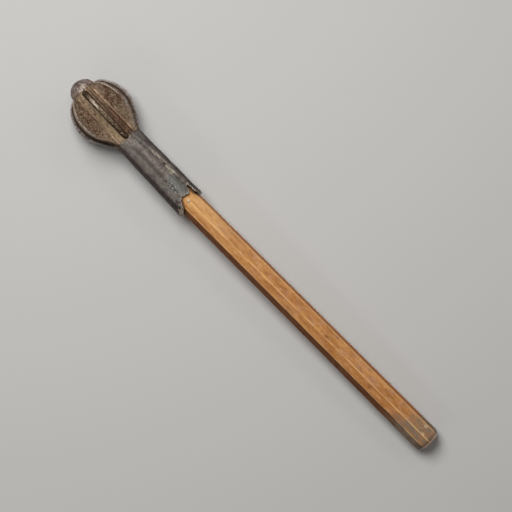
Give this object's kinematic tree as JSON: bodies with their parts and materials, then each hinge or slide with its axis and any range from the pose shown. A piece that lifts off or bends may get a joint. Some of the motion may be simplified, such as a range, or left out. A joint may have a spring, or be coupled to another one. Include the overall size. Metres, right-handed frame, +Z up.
{
  "type": "ceremonial mace",
  "caption": "Flanged iron mace head with a domed finial on a rolled sheet socket with a torn mouth, on a plain faceted wooden shaft, lying down.",
  "frame": {"origin": "on the floor, under the middle of the whole lying mace", "axes": "+X towards the finial, +Z up as it lies, with one flange pointing straight up"},
  "size_m": [0.5054, 0.064, 0.0624],
  "materials": {
    "wood": "hand-worn, oiled, stained grey at the butt",
    "socket_iron": "wrought sheet, dark, pitted, dull sheen",
    "head_iron": "wrought plate, brown patina, worn bright on some edges",
    "nail_iron": "worn nail heads"
  },
  "bodies": {
    "root": {"shaft": "wood", "socket": "socket_iron", "flange_1": "head_iron", "flange_2": "head_iron", "flange_3": "head_iron", "flange_4": "head_iron", "flange_5": "head_iron", "flange_6": "head_iron", "flange_7": "head_iron", "finial": "head_iron", "tongue_nail": "nail_iron", "bare_nail": "nail_iron"}
  },
  "joints": []
}
